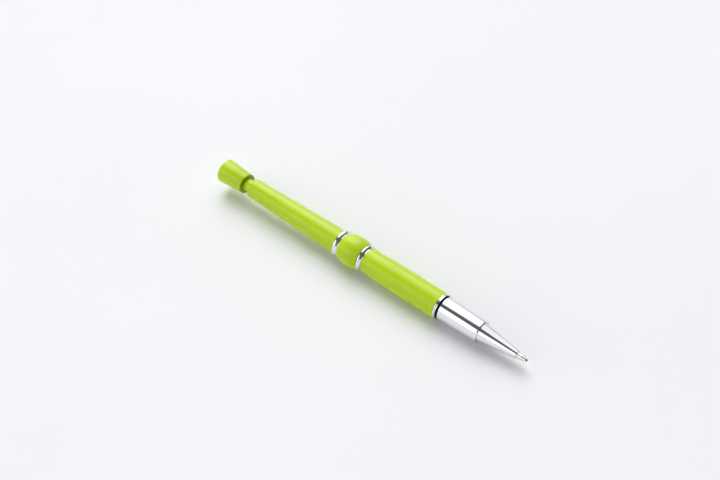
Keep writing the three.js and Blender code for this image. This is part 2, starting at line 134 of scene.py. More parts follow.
SECTION_FRONT_RADIUS = 4.7 * MM
SECTION_LIP = 0.3 * MM
SECTION_EDGE = 0.12 * MM
NOZZLE_RADIUS = 1.745 * MM
NOZZLE_BORE = 1.295 * MM
NOZZLE_LAND = 2.5 * MM
NOSE_SEAT_DEPTH = 1.9 * MM
NOSE_SEAT_BORE = 2.45 * MM
NOZZLE_EDGE = 0.12 * MM
NOSE_EDGE = 0.3 * MM
O_RING_EDGE = 0.4 * MM
THREAD_DEPTH = 0.25 * MM
THREAD_LEAD = 0.1 * MM
THREAD_FLANK = 1.25
THREAD_CREST = 0.1
KNURL_TEETH = 40
KNURL_DEPTH = 0.07 * MM
KNURL_LEAD = 0.2 * MM
VENT_RADIUS = 0.5 * MM
REFILL_WALL = 0.55 * MM
PLUG_NUB_RADIUS = 1.5 * MM
PLUG_NUB_LENGTH = 1.6 * MM
PLUG_FLANGE = 1.2 * MM
PLUG_EDGE = 0.2 * MM
PLUG_FRONT_EDGE = 0.3 * MM
INK_EDGE = 0.2 * MM
INK_DISH = 0.5 * MM
FOLLOWER_DISH = 0.9 * MM
HOLDER_BORE = 0.5 * MM
HOLDER_FLANGE = 1.6 * MM
HOLDER_SHOULDER_RADIUS = 2.2 * MM
HOLDER_REAR_EDGE = 0.3 * MM
HOLDER_FLANGE_EDGE = 0.25 * MM
TANG_BORE = 1.05 * MM
TANG_RADIUS = 0.95 * MM
TANG_LENGTH = 5 * MM
TIP_BORE = 0.5 * MM
TIP_CONE_LENGTH = 2.05 * MM
TIP_CONE_EDGE = 0.15 * MM
TIP_GROOVE = ((1.1 * MM, 0), (1.02 * MM, 0.06 * MM), (0.86 * MM, 0.06 * MM), (0.78 * MM, 0))
TIP_LIP_LENGTH = 0.3 * MM
TIP_LIP_REAR_WALL = 0.22 * MM
TIP_LIP_WALL = 0.1 * MM
TIP_LIP_EDGE = 0.04 * MM
TIP_FEED = 0.2 * MM
TIP_FEED_LENGTH = 0.8 * MM
CUP_GAP = 0.04 * MM
CUP_SWEEP = 1.25
SPRING_WIRE = 0.2 * MM
SPRING_TURNS = 7
SPRING_DEAD_TURNS = 1.25
SPRING_DEAD_PITCH = 0.44 * MM
SEAT_POCKET_RADIUS = 2.8 * MM
SEAT_POCKET_DEPTH = 1.4 * MM
SEAT_TAPER = 0.12 * MM
SEAT_REAR_EDGE = 0.3 * MM

# ---- Table, camera and lights -----------------------------------------------------------
TABLE_HALF = 2.0
TABLE_CLEARANCE = 0.02 * MM
CAMERA_LENS = 54
CAMERA_SENSOR = 36
CAMERA_NEAR = 0.01
CAMERA_AZIMUTH = 41.7
CAMERA_ELEVATION = 44.3
CAMERA_DISTANCE = 0.4401
LIGHT_DISTANCE = 2.5
ROOM_DIM = (0.124, 0.124, 0.13, 1)
ROOM_LIGHT = (0.87, 0.89, 0.97, 1)


def span(node):
    """Rear end, front end and greatest radius of a node."""
    low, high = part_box(node)
    return low.x, high.x, (high.y - low.y) / 2


AXIS_Z = sum(corner.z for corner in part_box("bulb")) / 2
CAMERA_AIM = Vector((-0.00779, 0.00651, AXIS_Z))
CORE_BORE = span("refill_tube")[2] + SLIDE_GAP
THREAD_BORE = span("coupling")[2] + THREAD_GAP
BARREL_BORE = span("upper_bush")[2] + PRESS_GAP


# ---- Mesh tools -------------------------------------------------------------------------
def rounded(outline, closed):
    """The outline with an arc at each corner whose third value is its radius."""
    points = []
    count = len(outline)
    for i, corner in enumerate(outline):
        here = Vector(corner[:2])
        fillet = corner[2] if len(corner) > 2 else 0
        if fillet <= 0 or (not closed and i in (0, count - 1)):
            points.append(here)
            continue
        before = (Vector(outline[i - 1][:2]) - here).normalized()
        after = (Vector(outline[(i + 1) % count][:2]) - here).normalized()
        half = before.angle(after) / 2
        centre = here + (before + after).normalized() * (fillet / math.sin(half))
        start = here + before * (fillet / math.tan(half)) - centre
        sweep = start.angle_signed(here + after * (fillet / math.tan(half)) - centre)
        for step in range(FILLET_STEPS + 1):
            turn = -sweep * step / FILLET_STEPS
            points.append(centre + Matrix.Rotation(turn, 2) @ start)
    return points


def new_object(name, mesh_builder):
    """A smooth-shaded object from a bmesh, with edges sharper than SHARP_DEG kept crisp."""
    bmesh.ops.recalc_face_normals(mesh_builder, faces=mesh_builder.faces)
    mesh = bpy.data.meshes.new(name)
    mesh_builder.to_mesh(mesh)
    mesh_builder.free()
    mesh.shade_smooth()
    mesh.set_sharp_from_angle(angle=math.radians(SHARP_DEG))
    piece = bpy.data.objects.new(name, mesh)
    bpy.context.scene.collection.objects.link(piece)
    return piece


def lathe(name, outline, closed=True, sides=SIDES, relief=None):
    """Sweeps an outline round the pen's axis. relief changes a radius by place and angle."""
    builder = bmesh.new()
    rings = []
    for x, r in rounded(outline, closed):
        if r < ON_AXIS:
            rings.append([builder.verts.new((x, 0, AXIS_Z))] * sides)
            continue
        ring = []
        for i in range(sides):
            angle = 2 * math.pi * i / sides
            radius = r + (relief(x, r, angle) if relief else 0)
            y = radius * math.cos(angle)
            z = AXIS_Z + radius * math.sin(angle)
            ring.append(builder.verts.new((x, y, z)))
        rings.append(ring)
    pairs = list(zip(rings, rings[1:]))
    if closed:
        pairs.append((rings[-1], rings[0]))
    for low, high in pairs:
        for i in range(sides):
            j = (i + 1) % sides
            corners = [low[i], low[j], high[j], high[i]]
            corners = [v for k, v in enumerate(corners) if v not in corners[:k]]
            if len(corners) > 2:
                builder.faces.new(corners)
    return new_object(name, builder)


def line(x0, x1, radius_at, steps):
    """Outline points from x0 to x1, with the radius as a formula of the place."""
    places = [x0 + (x1 - x0) * i / steps for i in range(steps + 1)]
    return [(x, radius_at(x)) for x in places]


def thread_line(x0, x1, radius, pitch):
    """Outline points close enough together to carry a thread."""
    steps = math.ceil(abs(x1 - x0) / pitch * THREAD_RINGS_PER_PITCH)
    return line(x0, x1, lambda x: radius, steps)


def thread(x0, x1, radius, pitch, depth):
    """A relief that cuts a screw thread of that depth into a cylinder between x0 and x1."""
    low, high = min(x0, x1), max(x0, x1)

    def relief(x, r, angle):
        if abs(r - radius) > SAME_RADIUS or not low <= x <= high:
            return 0
        wave = abs(((x / pitch - angle / (2 * math.pi)) % 1) * 2 - 1)
        fade = min(1, (x - low) / pitch, (high - x) / pitch)
        return -depth * fade * min(1, max(0, THREAD_FLANK * wave - THREAD_CREST))

    return relief


def knurl(radius):
    """A relief of straight teeth on the outside of a bush."""

    def relief(x, r, angle):
        if abs(r - radius) > SAME_RADIUS:
            return 0
        return -KNURL_DEPTH * abs(((angle * KNURL_TEETH / (2 * math.pi)) % 1) * 2 - 1)

    return relief


def both(first, second):
    """Two reliefs on one piece."""
    return lambda x, r, angle: first(x, r, angle) + second(x, r, angle)


def swept_wire(name, path, radius, sides):
    """A round wire along a list of points, closed at both ends."""
    builder = bmesh.new()
    rings = []
    side = Vector((1, 0, 0))
    for i, here in enumerate(path):
        ahead = path[min(i + 1, len(path) - 1)] - path[max(i - 1, 0)]
        ahead.normalize()
        side = (side - ahead * side.dot(ahead)).normalized()
        up = ahead.cross(side)
        ring = []
        for k in range(sides):
            angle = 2 * math.pi * k / sides
            outward = side * math.cos(angle) + up * math.sin(angle)
            ring.append(builder.verts.new(here + outward * radius))
        rings.append(ring)
    for low, high in zip(rings, rings[1:]):
        for k in range(sides):
            j = (k + 1) % sides
            builder.faces.new((low[k], low[j], high[j], high[k]))
    builder.faces.new(rings[0])
    builder.faces.new(reversed(rings[-1]))
    return new_object(name, builder)


# ---- Material tools ---------------------------------------------------------------------
class Shader:
    """A material with a Principled shader, and short calls for the nodes that feed it."""

    def __init__(self, name, **values):
        self.material = bpy.data.materials.new(name)
        self.material.use_nodes = True
        self.tree = self.material.node_tree
        self.main = self.tree.nodes["Principled BSDF"]
        for socket, value in values.items():
            self.main.inputs[socket.replace("_", " ")].default_value = value
        self.where = self.tree.nodes.new("ShaderNodeTexCoord").outputs["Object"]

    def join(self, source, target):
        self.tree.links.new(source, target)

    def stretched(self, scale):
        """Object coordinates, scaled by a vector."""
        node = self.tree.nodes.new("ShaderNodeMapping")
        node.inputs["Scale"].default_value = scale
        self.join(self.where, node.inputs["Vector"])
        return node.outputs["Vector"]

    def noise(self, scale, detail=4.0, roughness=0.5, where=None):
        node = self.tree.nodes.new("ShaderNodeTexNoise")
        node.inputs["Scale"].default_value = scale
        node.inputs["Detail"].default_value = detail
        node.inputs["Roughness"].default_value = roughness
        self.join(where or self.where, node.inputs["Vector"])
        return node.outputs["Fac"]

    def level(self, source, low, high, from_low=0.3, from_high=0.7):
        """Maps a grey value to a range."""
        node = self.tree.nodes.new("ShaderNodeMapRange")
        node.inputs["From Min"].default_value = from_low
        node.inputs["From Max"].default_value = from_high
        node.inputs["To Min"].default_value = low
        node.inputs["To Max"].default_value = high
        self.join(source, node.inputs["Value"])
        return node.outputs["Result"]

    def tint(self, source, colour_a, colour_b, low=0.35, high=0.65):
        """Base colour between two colours by a grey value."""
        node = self.tree.nodes.new("ShaderNodeValToRGB")
        node.color_ramp.elements[0].position = low
        node.color_ramp.elements[0].color = (*colour_a, 1)
        node.color_ramp.elements[1].position = high
        node.color_ramp.elements[1].color = (*colour_b, 1)
        self.join(source, node.inputs["Fac"])
        self.join(node.outputs["Color"], self.main.inputs["Base Color"])

    def roughen(self, source, low, high):
        self.join(self.level(source, low, high), self.main.inputs["Roughness"])

    def bump(self, source, distance, strength=1.0):
        node = self.tree.nodes.new("ShaderNodeBump")
        node.inputs["Distance"].default_value = distance
        node.inputs["Strength"].default_value = strength
        self.join(source, node.inputs["Height"])
        self.join(node.outputs["Normal"], self.main.inputs["Normal"])


def lime_coat():
    """Smooth sprayed lacquer: a faint orange peel and slightly uneven gloss."""
    shader = Shader("lime_coat", IOR=1.41)
    shader.tint(shader.noise(70, 3), (0.460, 0.665, 0.0005), (0.500, 0.705, 0.001))
    shader.roughen(shader.noise(60, 2), 0.24, 0.28)
    shader.bump(shader.noise(400, 1), 0.001 * MM, 0.3)
    return shader.material


def chrome():
    """Mirror chrome plating with faint wipe marks along the pen."""
    shader = Shader("chrome", Metallic=1.0)
    shader.tint(shader.noise(90, 2), (0.80, 0.81, 0.83), (0.86, 0.865, 0.88))
    wipes = shader.noise(1, 6, 0.6, shader.stretched((120, 900, 900)))
    shader.roughen(wipes, 0.03, 0.075)
    shader.bump(shader.noise(500, 2), 0.001 * MM, 0.4)
    return shader.material


def brass():
    """Bare turned brass: rings left by the cutter, and a patchy tarnish."""
    shader = Shader("brass", Metallic=1.0)
    shader.tint(shader.noise(300, 5), (0.33, 0.25, 0.05), (0.50, 0.40, 0.12))
    rings = shader.noise(1, 2, 0.5, shader.stretched((9000, 120, 120)))
    shader.roughen(rings, 0.28, 0.42)
    shader.bump(rings, 0.006 * MM, 0.6)
    return shader.material


def lacquered_brass():
    """Turned brass ring; its dark olive base colour is a darkened lime, painted shade for the shaded
    front face of the knob.
    """
    shader = Shader("lacquered_brass", Metallic=0.3, IOR=1.4)
    # painted shade: two darkened lime tones stand in for the shade that lies on the knob's front
    # face
    shader.tint(shader.noise(300, 5), (0.27, 0.34, 0.002), (0.33, 0.40, 0.004))
    rings = shader.noise(1, 2, 0.5, shader.stretched((9000, 120, 120)))
    shader.roughen(rings, 0.26, 0.36)
    shader.bump(rings, 0.004 * MM, 0.5)
    return shader.material


def spring_steel():
    """Drawn wire with fine die lines."""
    shader = Shader("spring_steel", Metallic=1.0)
    shader.tint(shader.noise(500, 4), (0.44, 0.43, 0.41), (0.56, 0.55, 0.53))
    shader.roughen(shader.noise(2500, 3), 0.2, 0.34)
    return shader.material


def nickel_silver():
    """Fine turned nickel silver, a little warm."""
    shader = Shader("nickel_silver", Metallic=1.0)
    shader.tint(shader.noise(900, 3), (0.80, 0.73, 0.66), (0.90, 0.84, 0.78))
    rings = shader.noise(1, 2, 0.5, shader.stretched((12000, 200, 200)))
    shader.roughen(rings, 0.12, 0.24)
    shader.bump(rings, 0.003 * MM, 0.5)
    return shader.material


def carbide():
    """Polished tungsten carbide with a film of ink."""
    shader = Shader("carbide", Metallic=0.6, Coat_Weight=0.5, Coat_Roughness=0.08)
    shader.tint(shader.noise(2500, 3), (0.012, 0.010, 0.010), (0.05, 0.035, 0.03))
    shader.roughen(shader.noise(3000, 3), 0.12, 0.3)
    return shader.material


def rubber():
    """Matt black rubber, finely pitted."""
    shader = Shader("rubber", Specular_IOR_Level=0.35)
    shader.tint(shader.noise(800, 5), (0.008, 0.008, 0.009), (0.016, 0.016, 0.018))
    shader.roughen(shader.noise(1500, 5), 0.6, 0.8)
    shader.bump(shader.noise(3500, 4), 0.01 * MM, 0.6)
    return shader.material


def white_plastic():
    """Moulded plastic, slightly milky."""
    shader = Shader("white_plastic", Subsurface_Weight=0.15, Subsurface_Scale=0.5 * MM)
    shader.tint(shader.noise(200, 3), (0.74, 0.74, 0.71), (0.81, 0.81, 0.78))
    shader.roughen(shader.noise(900, 4), 0.35, 0.5)
    shader.bump(shader.noise(2200, 3), 0.006 * MM, 0.5)
    return shader.material


def clear_plastic():
    """Clear extruded tube with faint draw lines along it."""
    shader = Shader("clear_plastic", Transmission_Weight=0.9, IOR=1.49)
    shader.tint(shader.noise(150, 3), (0.86, 0.90, 0.91), (0.92, 0.95, 0.96))
    lines = shader.noise(1, 3, 0.5, shader.stretched((40, 2500, 2500)))
    shader.roughen(lines, 0.06, 0.16)
    shader.bump(lines, 0.003 * MM, 0.5)
    return shader.material


def ink():
    """Black gel ink."""
    shader = Shader("ink", Coat_Weight=0.4, Coat_Roughness=0.05)
    shader.tint(shader.noise(400, 4), (0.006, 0.006, 0.010), (0.012, 0.012, 0.02))
    shader.roughen(shader.noise(700, 3), 0.1, 0.2)
    return shader.material


def grease():
    """Pale follower grease with small bubbles."""
    shader = Shader("grease", Transmission_Weight=0.35, IOR=1.46)
    shader.tint(shader.noise(700, 4), (0.68, 0.61, 0.36), (0.76, 0.70, 0.46))
    shader.roughen(shader.noise(1200, 3), 0.15, 0.3)
    return shader.material


def table_top():
    """Pale, matt table with a barely visible unevenness."""
    shader = Shader("table_top", Specular_IOR_Level=0.15)
    shader.tint(shader.noise(6, 3), (0.86, 0.86, 0.88), (0.88, 0.88, 0.90))
    shader.roughen(shader.noise(900, 4), 0.6, 0.75)
    return shader.material


FINISHES = (
    lime_coat, chrome, brass, lacquered_brass, spring_steel, nickel_silver, carbide,
    rubber, white_plastic, clear_plastic, ink, grease,
)
MATERIALS = {make.__name__: make() for make in FINISHES}


def stand_for(piece, node):
    """Puts a fine piece in the place of a CAD node: its body, its slot and its material."""
    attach(piece, BODY_OF[node])
    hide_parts(node)
    piece.data.materials.append(MATERIALS[SLOT_OF[node]])
    return piece


# ---- Knob and neck ----------------------------------------------------------------------
def knob():
    """The flared knob, with a bore for the neck's stud; the bore's thread is not cut."""
    rear, front, radius = span("knob_cap")
    bore_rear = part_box("neck_stem")[0].x - STUD_BORE_SPARE
    threads = thread_line(bore_rear, front - STUD_BORE_LEAD, STUD_BORE, STUD_PITCH)
    outline = [
        (rear, 0),
        (rear, radius, KNOB_EDGE),
        (front, KNOB_FRONT_RADIUS, PAINT_EDGE),
        (front, STUD_BORE, PAINT_EDGE),
        *reversed(threads),
        (bore_rear, 0),
    ]
    stand_for(lathe("knob_shell", outline, closed=False), "knob_cap")


def collar():
    """The thin ring between the knob and the neck."""
    rear, front, radius = span("knob_collar")
    outline = [
        (rear, radius, COLLAR_EDGE / 2),
        (front, radius, COLLAR_EDGE),
        (front, STUD_BORE),
        (rear, STUD_BORE),
    ]
    stand_for(lathe("collar_ring", outline), "knob_collar")


def neck():
    """The neck, its threaded stud behind and its spigot in the upper barrel."""
    rear, front, spigot = span("neck_stem")
    neck_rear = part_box("knob_collar")[1].x + SEAT_GAP
    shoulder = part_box("upper_barrel")[0].x + STEM_LIP + SEAT_GAP
    neck_radius = spigot - NECK_SHOULDER
    stud_front = neck_rear - STUD_RUNOUT
    outline = [
        (rear, 0),
        (rear, STUD_RADIUS - THREAD_DEPTH, EDGE),
        *thread_line(rear + STUD_LEAD, stud_front, STUD_RADIUS, STUD_PITCH),
        (neck_rear, STUD_RADIUS),
        (neck_rear, neck_radius, PAINT_EDGE),
        (shoulder, neck_radius),
        (shoulder, spigot, PAINT_EDGE),
        (front, spigot, STEM_EDGE),
        (front, 0),
    ]
    cut = thread(rear, stud_front, STUD_RADIUS, STUD_PITCH, THREAD_DEPTH)
    stand_for(lathe("neck_and_stud", outline, closed=False, relief=cut), "neck_stem")


# ---- Barrel -----------------------------------------------------------------------------
def upper_barrel():
    """The upper tube: slightly bowed outside, an even wall, and a lip round the neck."""
    rear, front, front_radius = span("upper_barrel")
    socket_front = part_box("neck_stem")[1].x + SEAT_GAP
    bush_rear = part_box("upper_bush")[0].x - SEAT_GAP
    lip_bore = span("neck_stem")[2] - NECK_SHOULDER + PRESS_GAP
    rear_bore = UPPER_REAR_RADIUS - BARREL_WALL

    def radius_at(x):
        share = (x - rear) / (front - rear)
        return UPPER_REAR_RADIUS + (front_radius - UPPER_REAR_RADIUS) * share ** UPPER_BOW

    start = rear + UPPER_EDGE_WIDTH
    body = line(start, front, radius_at, BARREL_STEPS)
    inside = line(socket_front, bush_rear, lambda x: radius_at(x) - BARREL_WALL, BORE_STEPS)
    outline = [
        (rear, lip_bore, PAINT_EDGE),
        (rear, radius_at(start) - UPPER_EDGE_FALL, UPPER_EDGE),
        *body[:-1],
        (*body[-1], PAINT_EDGE),
        (front, BARREL_BORE),
        (bush_rear, BARREL_BORE),
        *reversed(inside),
        (socket_front, rear_bore),
        (rear + STEM_LIP, rear_bore),
        (rear + STEM_LIP, lip_bore),
    ]
    stand_for(lathe("upper_tube", outline), "upper_barrel")


def lower_barrel():
    """The lower tube, which swells a little between its two ends."""
    rear, front, swell = span("lower_barrel")
    swell_x = rear + (front - rear) * LOWER_SWELL_AT

    def radius_at(x):
        if x < swell_x:
            end, end_radius = rear, LOWER_REAR_RADIUS
        else:
            end, end_radius = front, LOWER_FRONT_RADIUS
        return swell - (swell - end_radius) * ((x - swell_x) / (end - swell_x)) ** 2

    body = line(rear, front, radius_at, BARREL_STEPS)
    outline = [
        (*body[0], PAINT_EDGE),
        *body[1:-1],
        (*body[-1], PAINT_EDGE),
        (front, BARREL_BORE),
        (rear, BARREL_BORE),
    ]
    stand_for(lathe("lower_tube", outline), "lower_barrel")


def bulb():
    """The round bead at the waist, with a narrow flat band at its middle."""
    rear, front, radius = span("bulb")
    curve = (front - rear - BULB_FLAT) / 2
    middle = (rear + front) / 2

    def radius_at(x):
        away = max(0, abs(x - middle) - BULB_FLAT / 2) / curve
        return radius - (radius - BULB_END_RADIUS) * away ** 2

    body = line(rear, front, radius_at, BULB_STEPS)
    outline = [
        (*body[0], PAINT_EDGE),
        *body[1:-1],
        (*body[-1], PAINT_EDGE),
        (front, THREAD_BORE),
        (rear, THREAD_BORE),
    ]
    stand_for(lathe("bulb_bead", outline), "bulb")


def bead(middle, half, crest, end=0.0):
    """Outline points of a half-round bead, from its rear foot to an angle in front."""
    points = []
    for step in range(BEAD_STEPS + 1):
        angle = math.pi + (end - math.pi) * step / BEAD_STEPS
        points.append((middle + half * math.cos(angle), crest - half + half * math.sin(angle)))
    return points


def waist_ring(node, barrel_radius):
    """A chrome ring: a half-round bead that runs down a slope ahead of it to a narrow land."""
    rear, front, radius = span(node)
    bead_rear = rear + RING_GROOVE_WIDTH
    half = (front - bead_rear - RING_SLOPE_WIDTH - RING_LAND_WIDTH) / 2
    groove = barrel_radius - RING_GROOVE_DEPTH
    land = barrel_radius + RING_LAND_PROUD
    outline = [
        (rear, groove),
        (bead_rear, groove),
        *bead(bead_rear + half, half, radius, RING_BEAD_END),
        (front - RING_LAND_WIDTH, land),
        (front, land),
        (front, THREAD_BORE),
        (rear, THREAD_BORE),
    ]
    stand_for(lathe(f"{node}_band", outline), node)


def coupling():
    """The brass tube that joins the two barrels, threaded at both ends."""
    rear, front, radius = span("coupling")
    upper_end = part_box("upper_bush")[1].x
    lower_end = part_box("middle_bush")[0].x
    outline = [
        (rear, radius - THREAD_DEPTH, EDGE),
        *thread_line(rear + THREAD_LEAD, upper_end, radius, SECTION_PITCH),
        *thread_line(lower_end, front - THREAD_LEAD, radius, SECTION_PITCH),
        (front, radius - THREAD_DEPTH, EDGE),
        (front, CORE_BORE, EDGE),
        (rear, CORE_BORE, EDGE),
    ]
    cuts = both(
        thread(rear, upper_end, radius, SECTION_PITCH, THREAD_DEPTH),
        thread(lower_end, front, radius, SECTION_PITCH, THREAD_DEPTH),
    )
    stand_for(lathe("coupling_tube", outline, relief=cuts), "coupling")


def bush(node):
    """A knurled brass bush with a threaded bore."""
    rear, front, radius = span(node)
    tooth = radius - BOX_MARGIN
    threads = thread_line(rear + FINE_EDGE, front - FINE_EDGE, THREAD_BORE, SECTION_PITCH)
    outline = [
        (rear, radius - KNURL_DEPTH, FINE_EDGE),
        (rear + KNURL_LEAD, tooth),
        (front - KNURL_LEAD, tooth),
        (front, radius - KNURL_DEPTH, FINE_EDGE),
        (front, THREAD_BORE),
        *reversed(threads),
        (rear, THREAD_BORE),
    ]
    inner = thread(rear, front, THREAD_BORE, SECTION_PITCH, -THREAD_DEPTH)
    stand_for(lathe(f"{node}_knurled", outline, relief=both(inner, knurl(tooth))), node)


# ---- Tip ring, o-ring, section and nose -------------------------------------------------
def tip_ring():
    """The ring at the barrel's front: a round bead, a band, and a recess for the o-ring."""
    rear, front, radius = span("tip_ring")
    recess_rear = front - TIP_RING_RECESS
    band_rear = front - TIP_RING_BAND
    half = TIP_RING_BEAD / 2
    band = radius - TIP_RING_STEP
    outline = [
        (rear, THREAD_BORE),
        *bead(rear + half, half, radius),
        (band_rear, radius - half),
        (band_rear, band, TIP_RING_FILLET),
        (front, band, TIP_RING_EDGE),
        (front, TIP_RING_RECESS_RADIUS, TIP_RING_FILLET),
        (recess_rear, TIP_RING_RECESS_RADIUS),
        (recess_rear, THREAD_BORE),
    ]
    stand_for(lathe("tip_ring_band", outline), "tip_ring")


def o_ring():
    """The rubber ring between the tip ring and the section."""
    rear, front, radius = span("o_ring")
    outline = [
        (rear, THREAD_BORE, O_RING_EDGE),
        (rear, radius, O_RING_EDGE),
        (front, radius, O_RING_EDGE),
        (front, THREAD_BORE, O_RING_EDGE),
    ]
    stand_for(lathe("o_ring_cord", outline), "o_ring")


def grip_section():
    """The chrome section: a threaded tail, a tapered grip and a socket for the nose."""
    rear, front, radius = span("grip_section")
    body_rear = rear + SECTION_TAIL
    thread_front = body_rear - SECTION_RUNOUT
    tail = THREAD_BORE - THREAD_GAP
    socket_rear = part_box("nose_cone")[0].x - SEAT_GAP
    socket = span("nose_cone")[2] + PRESS_GAP
    lip = front - SECTION_LIP
    outline = [
        (rear, CORE_BORE, EDGE),
        (rear, tail - THREAD_DEPTH, EDGE),
        *thread_line(rear + THREAD_LEAD, thread_front, tail, SECTION_PITCH),
        (body_rear, tail),
        (body_rear, radius, SECTION_EDGE),
        (lip, SECTION_FRONT_RADIUS, SECTION_EDGE),
        (front, SECTION_FRONT_RADIUS - SECTION_LIP, SECTION_EDGE),
        (front, socket, FINE_EDGE),
        (socket_rear, socket),
        (socket_rear, CORE_BORE),
    ]
    cut = thread(rear, thread_front, tail, SECTION_PITCH, THREAD_DEPTH)
    stand_for(lathe("grip_tube", outline, relief=cut), "grip_section")


def nose_cone():
    """The chrome cone, hollow down to the seat that the refill rests on."""
    rear, front, radius = span("nose_cone")
    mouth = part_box("grip_section")[1].x
    seat = mouth - NOSE_SEAT_DEPTH
    outline = [
        (rear, CORE_BORE),
        (rear, radius, EDGE),
        (mouth, radius, NOSE_EDGE),
        (front, NOZZLE_RADIUS, NOZZLE_EDGE),
        (front, NOZZLE_BORE, FINE_EDGE),
        (front - NOZZLE_LAND, NOZZLE_BORE),
        (seat, NOSE_SEAT_BORE),
        (seat, CORE_BORE),
    ]
    stand_for(lathe("nose_taper", outline), "nose_cone")


# ---- Refill -----------------------------------------------------------------------------
def dished(rear, depth, radius):
    """Outline points of a hollow end that curves from the axis out to the wall."""
    points = []
    for step in range(1, DISH_STEPS):
        share = step / DISH_STEPS
        points.append((rear + depth * (1 - share ** 2), radius * share))
    return points


def refill_body():
    """The refill's vented plug, its clear tube, and the ink with its follower."""
    plug_rear, plug_front, plug_radius = span("refill_plug")
    tube_rear, tube_front, tube_radius = span("refill_tube")
    bore = tube_radius - REFILL_WALL
    core = bore - PRESS_GAP
    flange_rear = plug_rear + PLUG_NUB_LENGTH
    flange_front = flange_rear + PLUG_FLANGE
    plug = [
        (plug_rear, VENT_RADIUS, EDGE),
        (plug_rear, PLUG_NUB_RADIUS, PLUG_EDGE),
        (flange_rear, PLUG_NUB_RADIUS, EDGE),
        (flange_rear, plug_radius, PLUG_EDGE),
        (flange_front, plug_radius, EDGE),
        (flange_front, core, EDGE),
        (plug_front, core, PLUG_FRONT_EDGE),
        (plug_front, VENT_RADIUS, EDGE),
    ]
    stand_for(lathe("refill_plug_moulding", plug, sides=SMALL_SIDES), "refill_plug")
    tube = [
        (tube_rear, bore, EDGE),
        (tube_rear, tube_radius, EDGE),
        (tube_front, tube_radius, EDGE),
        (tube_front, bore, EDGE),
    ]
    stand_for(lathe("refill_tube_wall", tube, sides=SMALL_SIDES), "refill_tube")
    for node, dish in (("ink", INK_DISH), ("ink_follower", FOLLOWER_DISH)):
        rear, front, radius = span(node)
        column = [
            (rear + dish, 0),
            *dished(rear, dish, radius),
            (rear, radius, EDGE),
            (front, radius, INK_EDGE),
            (front, 0),
        ]
        stand_for(lathe(f"{node}_column", column, closed=False, sides=SMALL_SIDES), node)


def refill_front():
    """The plastic holder: a core in the tube, a flange on the seat, and a nose for the tip."""
    rear, front, flange = span("tip_holder")
    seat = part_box("grip_section")[1].x - NOSE_SEAT_DEPTH
    shoulder = seat - SEAT_GAP
    flange_rear = shoulder - HOLDER_FLANGE
    core = span("ink")[2]
    tang_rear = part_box("refill_tip")[0].x - SEAT_GAP
    share = (front - seat) / (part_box("nose_cone")[1].x - NOZZLE_LAND - seat)
    nose = NOSE_SEAT_BORE + (NOZZLE_BORE - NOSE_SEAT_BORE) * share - SLIDE_GAP
    holder = [
        (rear, HOLDER_BORE),
        (rear, core, HOLDER_REAR_EDGE),
        (flange_rear, core),
        (flange_rear, flange, EDGE),
        (shoulder, flange, HOLDER_FLANGE_EDGE),
        (shoulder, HOLDER_SHOULDER_RADIUS, EDGE),
        (front, nose, EDGE),
        (front, TANG_BORE),
        (tang_rear, TANG_BORE),
        (tang_rear, HOLDER_BORE),
    ]
    stand_for(lathe("tip_holder_moulding", holder, sides=SMALL_SIDES), "tip_holder")


def writing_tip():
    """The metal tip, with its tang, groove, cone and cup."""
    rear, front, radius = span("refill_tip")
    ball_centre, ball_radius = ball_place()
    socket = ball_radius + CUP_GAP
    lip_radius = math.sqrt(socket ** 2 - (front - ball_centre) ** 2)
    tang_front = rear + TANG_LENGTH
    cone_rear = front - TIP_CONE_LENGTH
    groove = [(cone_rear - back, radius - depth, FINE_EDGE) for back, depth in TIP_GROOVE]
    feed_front = ball_centre - socket
    feed_rear = feed_front - TIP_FEED_LENGTH
    cup = []
    for step in range(CUP_STEPS + 1):
        angle = math.acos((front - ball_centre) / socket) + step / CUP_STEPS * CUP_SWEEP
        cup.append((ball_centre + socket * math.cos(angle), socket * math.sin(angle)))
    outline = [
        (rear, TIP_BORE),
        (rear, TANG_RADIUS, EDGE),
        (tang_front, TANG_RADIUS),
        (tang_front, radius, EDGE),
        *groove,
        (cone_rear, radius, TIP_CONE_EDGE),
        (front - TIP_LIP_LENGTH, lip_radius + TIP_LIP_REAR_WALL, EDGE),
        (front, lip_radius + TIP_LIP_WALL, TIP_LIP_EDGE),
        *cup,
        (feed_front, TIP_FEED),
        (feed_rear, TIP_FEED),
        (feed_rear, TIP_BORE),
    ]
    stand_for(lathe("writing_tip_cone", outline, sides=SMALL_SIDES), "refill_tip")


def ball_place():
    """Place along the pen and radius of the writing ball."""
    low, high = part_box("tip_ball")
    return (low.x + high.x) / 2, (high.x - low.x) / 2


def writing_ball():
    centre, radius = ball_place()
    builder = bmesh.new()
    bmesh.ops.create_icosphere(builder, subdivisions=BALL_SUBDIVISIONS, radius=radius)
    bmesh.ops.translate(builder, verts=builder.verts, vec=(centre, 0, AXIS_Z))
    stand_for(new_object("writing_ball", builder), "tip_ball")


